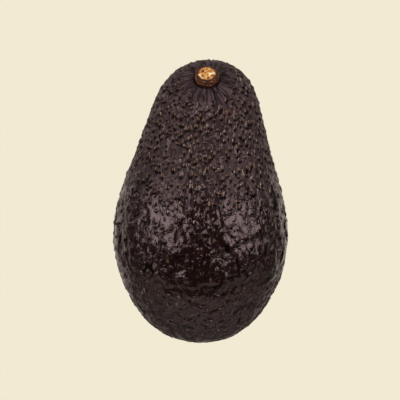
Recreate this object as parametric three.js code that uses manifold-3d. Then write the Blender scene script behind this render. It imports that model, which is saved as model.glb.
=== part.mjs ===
// A whole ripe avocado of the pebbled, dark-skinned kind, lying on its side on a small flat spot.
// Two pieces: the fruit, with the pebbled relief of its rind, and the woody stem button that stayed
// in its socket when the fruit was clipped from the tree.
// Millimetres, +Z up. The origin is the middle of the flat spot, and the stem end points to +Y.
import * as THREE from "three";
import { ConvexHull } from "three/addons/math/ConvexHull.js";
import { mergeVertices } from "three/addons/utils/BufferGeometryUtils.js";
import Module from "manifold-3d";

const wasm = await Module();
wasm.setup();

const { degToRad, lerp } = THREE.MathUtils;

// The smooth fruit. Each point of it belongs to a direction u of the unit sphere, with c = u.y going
// from 1 at the stem end to -1 at the blossom end. A ring's radius is BELLY_RADIUS sqrt(1 - c^2),
// times 1 + PEAR[0] c + PEAR[1] c^2 + ... + PEAR[4] c^5, which draws the ball into a neck.
const HALF_LENGTH = 49.5;
const BELLY_RADIUS = 29.4;
const PEAR = [-0.388, -0.145, 0.498, 0.399, -0.181];
const FLATTEN = 0.95; // a ring's height over its width
const NECK_RISE = 8.9; // how far the tip of the neck bends up from the straight axis
const NECK_LEAN = 3; // and how far it leans sideways
const LEAN_POWER = 1.3; // how late on the way to the tip it leans: 1 is from the middle on

// How it lies: turned about X until the neck dips, on a flat spot under its weight.
const REST_PITCH = degToRad(-5);
const SEAT_Y = -9.2; // the flat spot's middle, on the turned fruit
const SEAT_Z = -27.45; // the flat spot's level there, 0.9 above the smooth fruit's lowest point

// The pebbles of the rind: a low cone each, whose foot runs through the valleys between neighbours.
const PEBBLES = 1850;
const SEED = 20;
const SCATTER = 0.3; // how far a pebble strays from its place, in pebble spacings
const PEAK_HEIGHTS = [0.15, 0.62];
const VALLEY_HEIGHTS = [-0.32, -0.05];

// Round the stem the pebbles get smaller and lower, and draw out into short radial ridges.
const STEM_SHRINK = 0.6;
const STEM_REACH = 0.5; // radians on the unit sphere
const STEM_RELIEF = 0.25; // how much of the relief is left at the button
const STEM_CALM = 15; // from this far off the relief is whole

// Slow lumps under the pebbles: crossing waves over the unit sphere, each with its own phase.
const SWELL = 0.16;
const SWELL_WAVES = [
  { along: new THREE.Vector3(5.2, 1.4, 3.1), phase: 1.3 },
  { along: new THREE.Vector3(-3.3, 6.1, 2.2), phase: 0.4 },
  { along: new THREE.Vector3(2.1, -4.4, 6.3), phase: 2.6 },
];

// The stem button, off the neck's tip towards the top, in a socket at the bottom of a dimple.
const BUTTON_UP = degToRad(6.6);
const BUTTON_SIDE = degToRad(-1.3);
const BUTTON_RADIUS = 4.2;
const BUTTON_HEIGHT = 3.4; // from its foot to its cut face
const BUTTON_SUNK = 0.9; // how deep its foot stands below the skin
const BUTTON_SIDES = 48;
const SOCKET_GAP = 0.35; // clear space round it and under it
const SOCKET_FLARE = 1.06; // the socket's mouth over its floor
const DIMPLE_DEPTH = 0.7;
const DIMPLE_WIDTH = 6.5;

// The button's outline, in shares of its radius and height: a bulging collar of bark that draws in
// to the rim of the cut, and the slightly hollow cut face with its raised pith.
const BUTTON_FOOT = [[0, 0], [0.45, 0]];
const BUTTON_BARK = [[0.88, 0], [1, 0.33], [0.93, 0.56], [0.95, 0.68], [0.86, 0.9], [0.76, 0.98]];
const BUTTON_FACE = [[0.7, 0.97], [0.58, 0.93], [0.4, 0.94], [0.2, 0.98], [0, 0.97]];
const BARK_STEPS = 9;

// How uneven the button is: lobes round it, each a share of its radius, a number of waves and a
// phase, and lumps on its face, in radians a millimetre across and along.
const BUTTON_LOBES = [[0.03, 2, 0.6], [0.018, 5, 0], [0.012, 9, 2]];
const FACE_LUMP = 0.16;
const FACE_LUMP_WAVES = [4.1, 3.7];
const FACE_FROM = 0.9; // the share of its height above which the face lies

// Small repeatable random numbers from 0 to 1 (the mulberry32 generator).
function randomFrom(seed) {
  let state = seed;
  return () => {
    state = (state + 0x6d2b79f5) | 0;
    let t = Math.imul(state ^ (state >>> 15), 1 | state);
    t = (t + Math.imul(t ^ (t >>> 7), 61 | t)) ^ t;
    return ((t ^ (t >>> 14)) >>> 0) / 2 ** 32;
  };
}

const restPose = new THREE.Matrix4()
  .makeTranslation(0, -SEAT_Y, -SEAT_Z)
  .multiply(new THREE.Matrix4().makeRotationX(REST_PITCH));

// The smooth fruit's point for a direction u, as the fruit lies.
function bodyPoint(u) {
  const c = u.y;
  const taper = 1 + PEAR.reduceRight((sum, k) => (sum + k) * c, 0);
  const radius = BELLY_RADIUS * taper;
  const neck = Math.max(c, 0);
  const bend = Math.atan((3 * NECK_RISE * neck ** 2) / HALF_LENGTH);
  const height = FLATTEN * radius * u.z;
  return new THREE.Vector3(
    radius * u.x + NECK_LEAN * neck ** LEAN_POWER,
    HALF_LENGTH * c - height * Math.sin(bend),
    NECK_RISE * neck ** 3 + height * Math.cos(bend),
  ).applyMatrix4(restPose);
}

// Its outward normal there, from short steps both ways along two tangents of the sphere.
function bodyNormal(u) {
  const step = 1e-3;
  const aside = Math.abs(u.x) < 0.8 ? new THREE.Vector3(1, 0, 0) : new THREE.Vector3(0, 0, 1);
  const first = new THREE.Vector3().crossVectors(aside, u).normalize();
  const second = new THREE.Vector3().crossVectors(u, first);
  const across = (tangent) => {
    const ahead = bodyPoint(u.clone().addScaledVector(tangent, step).normalize());
    return ahead.sub(bodyPoint(u.clone().addScaledVector(tangent, -step).normalize()));
  };
  return across(first).cross(across(second)).normalize();
}

const buttonDirection = new THREE.Vector3(
  Math.sin(BUTTON_SIDE),
  Math.cos(BUTTON_UP) * Math.cos(BUTTON_SIDE),
  Math.sin(BUTTON_UP),
).normalize();
const buttonAxis = bodyNormal(buttonDirection);
const buttonSkin = bodyPoint(buttonDirection);
const buttonFoot = buttonSkin.clone().addScaledVector(buttonAxis, -DIMPLE_DEPTH - BUTTON_SUNK);
const alongButton = new THREE.Quaternion().setFromUnitVectors(new THREE.Vector3(0, 0, 1), buttonAxis);

// Where the pebbles' peaks are, as directions: a sunflower spiral that starts at the button, each
// point strayed a little at random, and all of them drawn together round the stem.
function pebbleDirections(random) {
  const goldenAngle = Math.PI * (3 - Math.sqrt(5));
  const stray = SCATTER * Math.sqrt((4 * Math.PI) / PEBBLES);
  const strayed = () => 2 * stray * (random() - 0.5);
  const pole = new THREE.Vector3(0, 1, 0);
  const poleToButton = new THREE.Quaternion().setFromUnitVectors(pole, buttonDirection);
  return Array.from({ length: PEBBLES }, (_, i) => {
    const fromPole = Math.acos(1 - (2 * i + 1) / PEBBLES);
    const u = new THREE.Vector3().setFromSphericalCoords(1, fromPole, i * goldenAngle);
    u.add(new THREE.Vector3(strayed(), strayed(), strayed())).normalize();
    const place = new THREE.Spherical().setFromVector3(u);
    place.phi *= 1 - STEM_SHRINK * Math.exp(-((place.phi / STEM_REACH) ** 2));
    return u.setFromSpherical(place).applyQuaternion(poleToButton);
  });
}

function swell(u) {
  return SWELL * SWELL_WAVES.reduce((sum, { along, phase }) => sum + Math.sin(along.dot(u) + phase), 0);
}

// A point of the rind: the smooth fruit's, raised by the lumps and by a pebble's own height, let
// down by the dimple, and pressed flat where it would reach below the surface that it lies on.
function rindPoint(u, height) {
  const point = bodyPoint(u);
  const fromButton = point.distanceTo(buttonSkin);
  const relief = lerp(STEM_RELIEF, 1, Math.min(1, fromButton / STEM_CALM));
  const dimple = DIMPLE_DEPTH * Math.exp(-((fromButton / DIMPLE_WIDTH) ** 2));
  point.addScaledVector(bodyNormal(u), (swell(u) + height) * relief - dimple);
  point.z = Math.max(point.z, 0);
  return point;
}

// The pebbled surface. The convex hull of the peaks' directions joins neighbours in threes. Each
// three has a valley point in its middle, and each pair of neighbours gives each of its peaks one
// facet, down to the two valley points beside the pair.
function pebbledGeometry() {
  const random = randomFrom(SEED);
  const heightIn = ([low, high]) => lerp(low, high, random());
  const peaks = pebbleDirections(random);
  const points = peaks.map((u) => rindPoint(u, heightIn(PEAK_HEIGHTS)));
  const peakIndex = new Map(peaks.map((u, i) => [u, i]));
  const valleyIndex = new Map();
  const { faces } = new ConvexHull().setFromPoints(peaks);
  const edgesOf = (face) => [face.getEdge(0), face.getEdge(1), face.getEdge(2)];
  for (const face of faces) {
    const middle = new THREE.Vector3();
    for (const edge of edgesOf(face)) {
      middle.add(edge.head().point);
    }
    valleyIndex.set(face, points.length);
    points.push(rindPoint(middle.normalize(), heightIn(VALLEY_HEIGHTS)));
  }
  const facet = (edge) => [
    peakIndex.get(edge.head().point),
    valleyIndex.get(edge.face),
    valleyIndex.get(edge.twin.face),
  ];
  const index = faces.flatMap((face) => edgesOf(face).flatMap(facet));
  return new THREE.BufferGeometry().setFromPoints(points).setIndex(index);
}

// The round, flared pit that holds the button: wider than the button and open well past the skin.
function socketGeometry() {
  const floor = BUTTON_RADIUS + SOCKET_GAP;
  const depth = SOCKET_GAP + BUTTON_SUNK + BUTTON_HEIGHT;
  return new THREE.CylinderGeometry(SOCKET_FLARE * floor, floor, depth, BUTTON_SIDES)
    .rotateX(Math.PI / 2)
    .translate(0, 0, depth / 2 - SOCKET_GAP)
    .applyQuaternion(alongButton)
    .translate(...buttonFoot);
}

// The button stands on its own Z: its outline is turned round that, then made uneven.
function buttonGeometry() {
  const scaled = ([r, h]) => new THREE.Vector2(BUTTON_RADIUS * r, BUTTON_HEIGHT * h);
  const bark = new THREE.SplineCurve(BUTTON_BARK.map(scaled)).getPoints(BARK_STEPS);
  const outline = [...BUTTON_FOOT.map(scaled), ...bark, ...BUTTON_FACE.map(scaled)];
  const geometry = new THREE.LatheGeometry(outline, BUTTON_SIDES).rotateX(Math.PI / 2);
  const position = geometry.getAttribute("position");
  const point = new THREE.Vector3();
  for (let i = 0; i < position.count; i++) {
    point.fromBufferAttribute(position, i);
    const turn = Math.atan2(point.y, point.x);
    const wave = (sum, [share, waves, phase]) => sum + share * Math.cos(waves * turn + phase);
    const lobes = BUTTON_LOBES.reduce(wave, 1);
    const lump = Math.sin(FACE_LUMP_WAVES[0] * point.x) * Math.sin(FACE_LUMP_WAVES[1] * point.y);
    const lift = point.z > FACE_FROM * BUTTON_HEIGHT ? FACE_LUMP * lump : 0;
    position.setXYZ(i, lobes * point.x, lobes * point.y, point.z + lift);
  }
  return geometry;
}

// A closed geometry as a solid that can be cut, with its shared vertices merged.
function solidOf(geometry) {
  const merged = mergeVertices(geometry.clone().deleteAttribute("normal").deleteAttribute("uv"));
  const mesh = new wasm.Mesh({
    numProp: 3,
    vertProperties: merged.getAttribute("position").array,
    triVerts: new Uint32Array(merged.getIndex().array),
  });
  return new wasm.Manifold(mesh);
}

function geometryOf(solid) {
  const { vertProperties, triVerts } = solid.getMesh();
  return new THREE.BufferGeometry()
    .setAttribute("position", new THREE.BufferAttribute(vertProperties, 3))
    .setIndex(new THREE.BufferAttribute(triVerts, 1));
}

function makeFruit() {
  const solid = solidOf(pebbledGeometry()).subtract(solidOf(socketGeometry()));
  const rind = new THREE.MeshStandardMaterial({ color: 0x3a2e2d, roughness: 0.42, metalness: 0 });
  const fruit = new THREE.Mesh(geometryOf(solid), rind);
  fruit.name = "fruit";
  return fruit;
}

function makeStemButton() {
  const wood = new THREE.MeshStandardMaterial({ color: 0xa97445, roughness: 0.75, metalness: 0 });
  const button = new THREE.Mesh(buttonGeometry(), wood);
  button.name = "stem_button";
  button.position.copy(buttonFoot);
  button.quaternion.copy(alongButton);
  return button;
}

const avocado = new THREE.Group();
avocado.add(makeFruit(), makeStemButton());

export default avocado;
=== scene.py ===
# %% [markdown]
# # A ripe avocado, lying on its side
#
# The real thing is a dark avocado with a pebbled rind, clipped from its tree with a short woody
# button of stem left in its socket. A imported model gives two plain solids, `fruit` and
# `stem_button`. This lesson dresses them. It makes a finer fruit and a finer button from the same
# driving dimensions, gives each its own skin, and puts soft studio lights and a camera over them.

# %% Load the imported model
import math

import bmesh
import bpy
import numpy as np
from mathutils import Matrix, Vector, kdtree, noise


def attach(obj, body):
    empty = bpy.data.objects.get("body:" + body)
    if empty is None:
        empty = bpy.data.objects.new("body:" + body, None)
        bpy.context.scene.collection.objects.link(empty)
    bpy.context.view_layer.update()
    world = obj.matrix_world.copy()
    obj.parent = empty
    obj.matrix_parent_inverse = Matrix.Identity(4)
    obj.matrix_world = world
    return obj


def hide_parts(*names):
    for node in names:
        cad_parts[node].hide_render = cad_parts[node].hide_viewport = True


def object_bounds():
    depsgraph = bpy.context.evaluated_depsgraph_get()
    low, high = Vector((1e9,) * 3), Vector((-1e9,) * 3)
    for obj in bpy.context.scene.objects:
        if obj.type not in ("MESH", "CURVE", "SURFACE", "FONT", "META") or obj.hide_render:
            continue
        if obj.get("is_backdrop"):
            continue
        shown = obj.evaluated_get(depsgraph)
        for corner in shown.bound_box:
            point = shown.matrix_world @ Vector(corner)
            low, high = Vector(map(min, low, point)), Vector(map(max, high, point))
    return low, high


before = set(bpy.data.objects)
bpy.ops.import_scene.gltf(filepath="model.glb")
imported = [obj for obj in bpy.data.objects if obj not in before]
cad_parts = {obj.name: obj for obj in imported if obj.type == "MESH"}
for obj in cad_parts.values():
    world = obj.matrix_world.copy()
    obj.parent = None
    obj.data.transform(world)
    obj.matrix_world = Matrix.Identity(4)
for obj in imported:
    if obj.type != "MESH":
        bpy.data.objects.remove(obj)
cad_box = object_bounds()
print("nodes:", sorted(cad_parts))
print("box, mm:", [[round(1000 * x, 2) for x in corner] for corner in cad_box])

# %% [markdown]
# Blender's unit is the metre, and a fruit is easier to think about in millimetres. So every size
# below is in millimetres, and `MM` turns it into Blender's unit at the last moment. Colours are
# written as the hex values of a colour picker, and a shader needs them as linear light.

# %% Units and colours
MM = 0.001
RIND_BROWN = "#110805"


def linear(hex_colour):
    """An sRGB hex colour as the linear colour that shaders work in."""
    channels = [int(hex_colour[i : i + 2], 16) / 255 for i in (1, 3, 5)]
    straight = [c / 12.92 if c <= 0.04045 else ((c + 0.055) / 1.055) ** 2.4 for c in channels]
    return (*straight, 1.0)


print("rind brown in linear light:", [round(c, 4) for c in linear(RIND_BROWN)])

# %% [markdown]
# ## The shape of the fruit
#
# An avocado is a ball drawn out into a neck. It could be sculpted, or lofted through rings, but a
# formula keeps it true to the solid: each direction of the unit sphere gives one point of the skin.
# A ring's radius is the ball's, times a polynomial in the direction's share along the length. Then
# the neck bends up and leans a little, and the whole fruit is turned until it lies at rest.

# %% The smooth fruit
HALF_LENGTH = 49.5
BELLY_RADIUS = 29.4
PEAR = (-0.388, -0.145, 0.498, 0.399, -0.181)
FLATTEN = 0.95  # a ring's height over its width
NECK_RISE = 8.9  # how far the tip of the neck bends up from the straight axis
NECK_LEAN = 3  # and how far it leans sideways
LEAN_POWER = 1.3
REST_PITCH = math.radians(-5)
SEAT = np.array([0, -9.2, -27.45])  # the flat spot's middle, on the turned fruit


def body(u):
    """Points of the smooth fruit in mm, as it lies, for unit directions u, one in a row."""
    c = u[:, 1]
    radius = BELLY_RADIUS * np.polynomial.polynomial.polyval(c, (1, *PEAR))
    neck = np.clip(c, 0, None)
    bend = np.arctan(3 * NECK_RISE * neck**2 / HALF_LENGTH)  # the slope of the rise, neck**3, below
    height = FLATTEN * radius * u[:, 2]
    x = radius * u[:, 0] + NECK_LEAN * neck**LEAN_POWER
    y = HALF_LENGTH * c - height * np.sin(bend)
    z = NECK_RISE * neck**3 + height * np.cos(bend)
    at_rest = np.array(Matrix.Rotation(REST_PITCH, 3, "X"))
    return np.column_stack([x, y, z]) @ at_rest.T - SEAT


def unit(v):
    """The same directions at a length of one."""
    return v / np.linalg.norm(v, axis=1, keepdims=True)


def body_normal(u, step=1e-3):
    """Outward normals there, from short steps both ways along two tangents of the sphere."""
    aside = np.where(np.abs(u[:, :1]) < 0.8, [[1.0, 0, 0]], [[0, 0, 1.0]])
    first = unit(np.cross(aside, u))
    second = np.cross(u, first)
    across = [body(unit(u + step * t)) - body(unit(u - step * t)) for t in (first, second)]
    return unit(np.cross(*across))


print("blossom end and stem end, mm:", body(np.array([[0, -1.0, 0], [0, 1.0, 0]])).round(1).tolist())

# %% [markdown]
# The stem button stands off the tip of the neck, towards the top. Its place is one more direction of
# the sphere, and it stands along the skin's normal there, with its foot sunk in a shallow dimple.

# %% Where the stem button stands
BUTTON_UP = math.radians(6.6)
BUTTON_SIDE = math.radians(-1.3)
BUTTON_RADIUS = 4.2
BUTTON_HEIGHT = 3.4  # from its foot to its cut face
BUTTON_SUNK = 0.9  # how deep its foot stands below the skin
DIMPLE_DEPTH = 0.7
DIMPLE_WIDTH = 6.5

toward_button = Vector(
    (
        math.sin(BUTTON_SIDE),
        math.cos(BUTTON_UP) * math.cos(BUTTON_SIDE),
        math.sin(BUTTON_UP),
    )
).normalized()
button_direction = np.array([toward_button])
button_skin = body(button_direction)[0]
button_axis = body_normal(button_direction)[0]
button_foot = button_skin - button_axis * (DIMPLE_DEPTH + BUTTON_SUNK)
print("button foot, mm:", button_foot.round(2), "axis:", button_axis.round(3))

# %% [markdown]
# ## Where the pebbles are
#
# The rind's pebbles stand evenly but not in rows. A sunflower's spiral does that: each next point
# turns by the golden angle. Every point strays a little, by the small random generator that the
# solid was made with, so the pebbles here fall on the solid's own. Round the stem they are drawn
# together. A second, denser spiral gives the small warts between them.

# %% Spirals of pebbles and warts
PEBBLES = 1850
PEBBLE_SEED = 20
PEBBLE_SCATTER = 0.3  # how far a pebble strays from its place, in pebble spacings
PEBBLE_HEIGHTS = (0.15, 0.62)
WARTS = 3200
WART_SEED = 7
WART_SCATTER = 0.34
STEM_SHRINK = 0.6
STEM_REACH = 0.5  # how far from the stem they are drawn together, in radians on the sphere


def mulberry(seed):
    """Small repeatable random numbers from 0 to 1."""
    word = 0xFFFFFFFF
    state = seed
    while True:
        state = (state + 0x6D2B79F5) & word
        t = ((state ^ state >> 15) * (1 | state)) & word
        t = ((t + (((t ^ t >> 7) * (61 | t)) & word)) & word) ^ t
        yield ((t ^ t >> 14) & word) / 2**32


def drawn_in(polar, shrink, reach):
    """Polar angles from the stem, drawn together round it."""
    return polar * (1 - shrink * np.exp(-((polar / reach) ** 2)))


def on_sphere(polar, turn):
    """Unit directions for polar angles from +Y and turns round it."""
    return np.column_stack([np.sin(polar) * np.sin(turn), np.cos(polar), np.sin(polar) * np.cos(turn)])


def from_stem(polar, turn):
    """The same with the button's direction in the place of +Y."""
    to_button = np.array(Vector((0, 1, 0)).rotation_difference(toward_button).to_matrix())
    return on_sphere(polar, turn) @ to_button.T


def sunflower(count, scatter, draw):
    """Unit directions of an even spiral round the stem, each strayed by a share of the spacing."""
    place = np.arange(count)
    polar = np.arccos(1 - (2 * place + 1) / count)
    even = on_sphere(polar, place * math.pi * (3 - math.sqrt(5)))
    stray = 2 * scatter * math.sqrt(4 * math.pi / count)
    strayed = unit(even + stray * np.array([next(draw) - 0.5 for _ in range(3 * count)]).reshape(-1, 3))
    polar = drawn_in(np.arccos(np.clip(strayed[:, 1], -1, 1)), STEM_SHRINK, STEM_REACH)
    return from_stem(polar, np.arctan2(strayed[:, 0], strayed[:, 2]))


pebble_draw = mulberry(PEBBLE_SEED)
pebbles = sunflower(PEBBLES, PEBBLE_SCATTER, pebble_draw)
pebble_heights = np.interp([next(pebble_draw) for _ in range(PEBBLES)], (0, 1), PEBBLE_HEIGHTS)
warts = sunflower(WARTS, WART_SCATTER, mulberry(WART_SEED))
print("first pebble, mm:", body(pebbles[:1])[0].round(2), "height", pebble_heights[0].round(3))

# %% [markdown]
# ## The rind as a wrapped sheet
#
# The rind needs an even, dense mesh that is finest round the button. A subdivided ball would be
# coarse there, so a flat grid is wrapped: its width goes once round the stem, and its height runs
# from the button to the blossom end. Merging the doubled points closes the seam and both poles.

# %% Wrap a flat grid round the fruit
GRID_ROUND = 384
GRID_ALONG = 257
GRID_SHRINK = 0.3
SAME_POINT = 1e-6  # on the unit sphere, where neighbours in the grid are over 1e-4 apart

sheet = bmesh.new()
bmesh.ops.create_grid(sheet, x_segments=GRID_ROUND, y_segments=GRID_ALONG, size=0.5)
flat = np.array([vertex.co for vertex in sheet.verts])
round_stem = 2 * math.pi * (flat[:, 0] + 0.5)
down_fruit = drawn_in(math.pi * (0.5 - flat[:, 1]), GRID_SHRINK, STEM_REACH)
for vertex, direction in zip(sheet.verts, from_stem(down_fruit, round_stem).tolist()):
    vertex.co = direction
bmesh.ops.remove_doubles(sheet, verts=sheet.verts, dist=SAME_POINT)
bmesh.ops.recalc_face_normals(sheet, faces=sheet.faces)
rind_mesh = bpy.data.meshes.new("pebbled_rind")
sheet.to_mesh(rind_mesh)
sheet.free()
ball = np.empty(3 * len(rind_mesh.vertices), np.float32)
rind_mesh.vertices.foreach_get("co", ball)
rind_directions = unit(ball.reshape(-1, 3).astype(float))
skin = body(rind_directions)
outward = body_normal(rind_directions)
print("rind:", len(skin), "points and", len(rind_mesh.polygons), "faces")

# %% [markdown]
# ## Relief
#
# The rest is heights: how far each point of the smooth skin moves along its normal. Noise gives the
# slow forms. Where a noise crosses zero there is a winding line, which makes creases and ridges. A
# warp by Blender's vector noise bends the noise first, so nothing runs straight. The vector noise is
# another one in each run until it is given a seed, so it gets one before its first use.

# %% Small tools for relief
WARP_SEED = 7
NECK_FROM, NECK_FULL = 2, 34  # along the length, where the neck's own relief starts and is full
BLOSSOM_FROM, BLOSSOM_FULL = 4, 26  # the same for the blossom half, the other way

noise.seed_set(WARP_SEED)


def noise_of(points):
    """Blender's smooth noise at each point, from about -1 to 1."""
    return np.array([noise.noise(p) for p in points.tolist()])


def warped(points, size, amount):
    """The points pushed about by that amount, by a vector noise of that size."""
    shift = np.array([tuple(noise.noise_vector(p)) for p in (points / size).tolist()])
    return points + amount * shift


def ramp(x, low, high):
    """0 below low and 1 above high, eased between them."""
    t = np.clip((x - low) / (high - low), 0, 1)
    return t * t * (3 - 2 * t)


def line_of(values, width):
    """1 where a noise crosses zero, along winding lines, and 0 away from them."""
    return 1 - ramp(np.abs(values), 0, width)


from_button = np.linalg.norm(skin - button_skin, axis=1)
neckness = ramp(skin[:, 1], NECK_FROM, NECK_FULL)
blossom_half = ramp(-skin[:, 1], BLOSSOM_FROM, BLOSSOM_FULL)
print("share of the rind on the neck:", round(float((neckness > 0.5).mean()), 2))

# %% [markdown]
# A pebble is a small bump, longer one way than the other, and its side towards the blossom end is
# the steeper. A KD tree finds each skin point's nearest bumps. The tip of each bump, a little up its
# gentle side, is kept as its own value, because the rind is corky there.
#
# What is finer than a face of the mesh is left to the finish, which draws it over each bump. For that
# a point keeps four numbers of its nearest bump: the way out from its middle, the way left and the
# way down, all three in the bump's own radii, and how large the bump shows.

# %% What a bump does to the skin
NEAREST = 4
STEEP_SIDE = 0.5  # how much taller, as a share, the side towards the blossom end is
TIP_SHIFT = 0.45
TIP_SHARP = 2.6
SHOWN_OVER = 0.5  # the share of the span of the heights over which a bump comes to show in full
FAR_OUT = 3.0  # the way out where no bump is near, in bump radii


def bumps(directions, heights, radius, stretch, lean, share_shown):
    """What each skin point has of bumps at directions, long by stretch and turned by lean.

    That is its rise, its share of a tip, its distances to the nearest bumps, and the four numbers
    that the finish draws the nearest one from.
    """
    points = body(directions)
    normals = body_normal(directions)
    along = unit(np.array([[0.0, 1.0, 0.0]]) - normals * normals[:, 1:2])
    sideways = np.cross(normals, along)
    grain = np.cos(lean)[:, None] * along + np.sin(lean)[:, None] * sideways
    across = np.cross(normals, grain)
    least = np.quantile(heights, 1 - share_shown)
    shown = np.clip((heights - least) / (SHOWN_OVER * np.ptp(heights)), 0, 1)
    tree = kdtree.KDTree(len(points))
    for index, point in enumerate(points):
        tree.insert(point, index)
    tree.balance()
    found = [tree.find_n(point, NEAREST) for point in skin]
    nearest = np.array([[hit[1] for hit in row] for row in found])
    distance = np.array([[hit[2] for hit in row] for row in found])
    rise = np.zeros(len(skin))
    tips = np.zeros(len(skin))
    drawn = {name: np.zeros(len(skin)) for name in ("way", "left", "down", "size")}
    drawn["way"] += FAR_OUT
    for one in nearest.T:
        offset = skin - points[one]
        a = np.einsum("ij,ij->i", offset, grain[one]) / (radius[one] * stretch[one])
        b = np.einsum("ij,ij->i", offset, across[one]) / radius[one]
        down = -np.einsum("ij,ij->i", offset, along[one]) / radius[one]
        skewed = np.exp(-(a * a + b * b)) * (1 + STEEP_SIDE * np.tanh(down))
        rise = np.maximum(rise, heights[one] * skewed)
        tips = np.maximum(tips, np.exp(-TIP_SHARP * (a * a + b * b + TIP_SHIFT * down + TIP_SHIFT**2 / 4)))
        way = np.hypot(a, b)
        of_this = {"way": way, "left": -offset[:, 0] / radius[one], "down": down, "size": shown[one]}
        nearer = way < drawn["way"]
        drawn = {name: np.where(nearer, of_this[name], values) for name, values in drawn.items()}
    return rise, tips, distance, drawn


print("each skin point looks at its", NEAREST, "nearest bumps")

# %% [markdown]
# The pebbles lean far to either side of the fruit's length, and a few are long. The warts are
# smaller, all longer than wide, and lean less. Where the two nearest pebbles are equally far there
# is a valley.

# %% Grow the pebbles and warts
PEBBLE_RADIUS = 0.66
PEBBLE_STRETCH = 1.5  # the longest pebble is this much longer than wide, in widths
PEBBLE_LEAN = 0.7  # how far the pebbles lean out of the fruit's length, in radians
PEBBLES_SHOWN = 0.5  # the share of them, the tallest, that the finish draws
WART_RADIUS = 0.5
WART_SIZES = (0.75, 1.2)
WART_HEIGHTS = (0.03, 0.2)
WART_STRETCH = (1.3, 1.2)  # the least, and how much more there is at most
WART_LEAN = 0.35
WARTS_SHOWN = 0.95
VALLEY_EDGE = 0.9

rng = np.random.default_rng(PEBBLE_SEED)
pebble_rise, pebble_tips, pebble_distance, pebble_drawn = bumps(
    pebbles,
    pebble_heights,
    np.full(PEBBLES, PEBBLE_RADIUS),
    1 + PEBBLE_STRETCH * rng.random(PEBBLES) ** 2,
    rng.normal(0, PEBBLE_LEAN, PEBBLES),
    PEBBLES_SHOWN,
)
wart_rise, wart_tips, _, wart_drawn = bumps(
    warts,
    rng.uniform(*WART_HEIGHTS, WARTS),
    WART_RADIUS * rng.uniform(*WART_SIZES, WARTS),
    WART_STRETCH[0] + WART_STRETCH[1] * rng.random(WARTS),
    rng.normal(0, WART_LEAN, WARTS),
    WARTS_SHOWN,
)
valleys = 1 - ramp(pebble_distance[:, 1] - pebble_distance[:, 0], 0, VALLEY_EDGE)
print("pebbles rise to", pebble_rise.max().round(2), "mm and warts to", wart_rise.max().round(2), "mm")

# %% [markdown]
# Between the pebbles the rind is blistered and folded, as leather is. On the belly the folds run
# lengthwise, with small curls on them. On the blossom half they give way to level ripples, as the
# skin stretched round the fruit when it swelled. They could be sculpted one by one. Here each
# is a noise that is read slower one way, which makes its forms longer that way. A tanh turns a noise
# into shelves with crisp edges. A number added to the place only fetches another piece of noise.

# %% Folds, curls and ripples
WARP = (5.0, 1.8)  # its size, and how far it pushes a place
LUMP_SIZE = 9.0
SWELL_SIZE = 5.2
FOLD_SIZE = 5.2
FOLD_PATCH_SIZE = 6.0
CREASE_WIDTH = 0.15
STEP_EDGE = 0.09
CURL_SIZE = 2.6
CURL_EDGE = 0.2
THREAD_SIZE = 1.9
THREAD_WIDTH = 0.22
THREAD_PATCH_SIZE = 3.1
RIPPLE_SIZE = 3.0
RIPPLE_FLAT = 2.0  # how much longer than high a ripple is
RIPPLE_CRISP = 9
ARC_LEVEL, ARC_WIDTH = 0.12, 0.09
VALLEY_LEVEL, VALLEY_WIDTH = -0.14, 0.12
BELLY_ALONG = 0.66  # how fast the noise is read along the belly
BLOSSOM_ALONG, BLOSSOM_ACROSS = 0.5, 0.35  # how much faster along the blossom half, and slower across
CURL_PULL = (1, 0.8, 1)
FOLDED = (-0.15, 0.25)  # the noise's values where folds begin and are all there
THREADED = (0.0, 0.2)

bent = warped(skin, *WARP)
across_pull = 1 - BLOSSOM_ACROSS * blossom_half
lengthwise = bent * np.column_stack([across_pull, BELLY_ALONG + BLOSSOM_ALONG * blossom_half, across_pull])
lumps = noise_of(skin / LUMP_SIZE)
swells = noise_of(lengthwise / SWELL_SIZE + 7)
folds = noise_of(lengthwise / FOLD_SIZE + 31)
folded = ramp(noise_of(skin / FOLD_PATCH_SIZE + 3), *FOLDED)
creases = line_of(folds, CREASE_WIDTH) * folded
steps = np.tanh(folds / STEP_EDGE) * folded
curls = np.tanh(noise_of(lengthwise * CURL_PULL / CURL_SIZE + 19) / CURL_EDGE)
threaded = ramp(noise_of(skin / THREAD_PATCH_SIZE + 11), *THREADED)
threads = line_of(noise_of(bent / THREAD_SIZE + 57), THREAD_WIDTH) * threaded
ripple_noise = noise_of(bent * (1, 1, RIPPLE_FLAT) / RIPPLE_SIZE + 83)
ripples = np.tanh(RIPPLE_CRISP * ripple_noise) * blossom_half
arcs = line_of(ripple_noise - ARC_LEVEL, ARC_WIDTH) * blossom_half
arc_valleys = line_of(ripple_noise - VALLEY_LEVEL, VALLEY_WIDTH) * blossom_half
print("creases on", round(float((creases > 0.5).mean()), 3), "of the rind")

# %% [markdown]
# Round the stem the rind is drawn tight: the pebbles fade out, and fine ridges and a few deep
# grooves run out from the button like the spokes of a wheel. Spokes are a noise too, read on a
# circle, so that it changes with the turn and hardly with the distance.

# %% Ridges and grooves round the stem
CALM_NEAR, CALM_FAR = 3, 16
CALM_SHARE = 0.12  # what is left of the other relief next to the button
SPOKES_START = (3, 6)
SPOKES_END = (9, 19)
GROOVE_WIDTH = 0.16
GROOVE_SPOKES = (4.6, 7)  # waves round the stem, and the millimetres over which they change
GROOVE_PATCHES = (3.7, 9)
GROOVED = (-0.1, 0.2)
RIDGE_SPOKES = (15, 6)

radial = skin - button_skin
radial -= np.outer(radial @ button_axis, button_axis)
off_axis = np.linalg.norm(radial, axis=1)
first_spoke = unit(np.cross([button_axis], [[0, 0, 1.0]]))[0]
second_spoke = np.cross(button_axis, first_spoke)
spoke_turn = np.arctan2(radial @ second_spoke, radial @ first_spoke)


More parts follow.
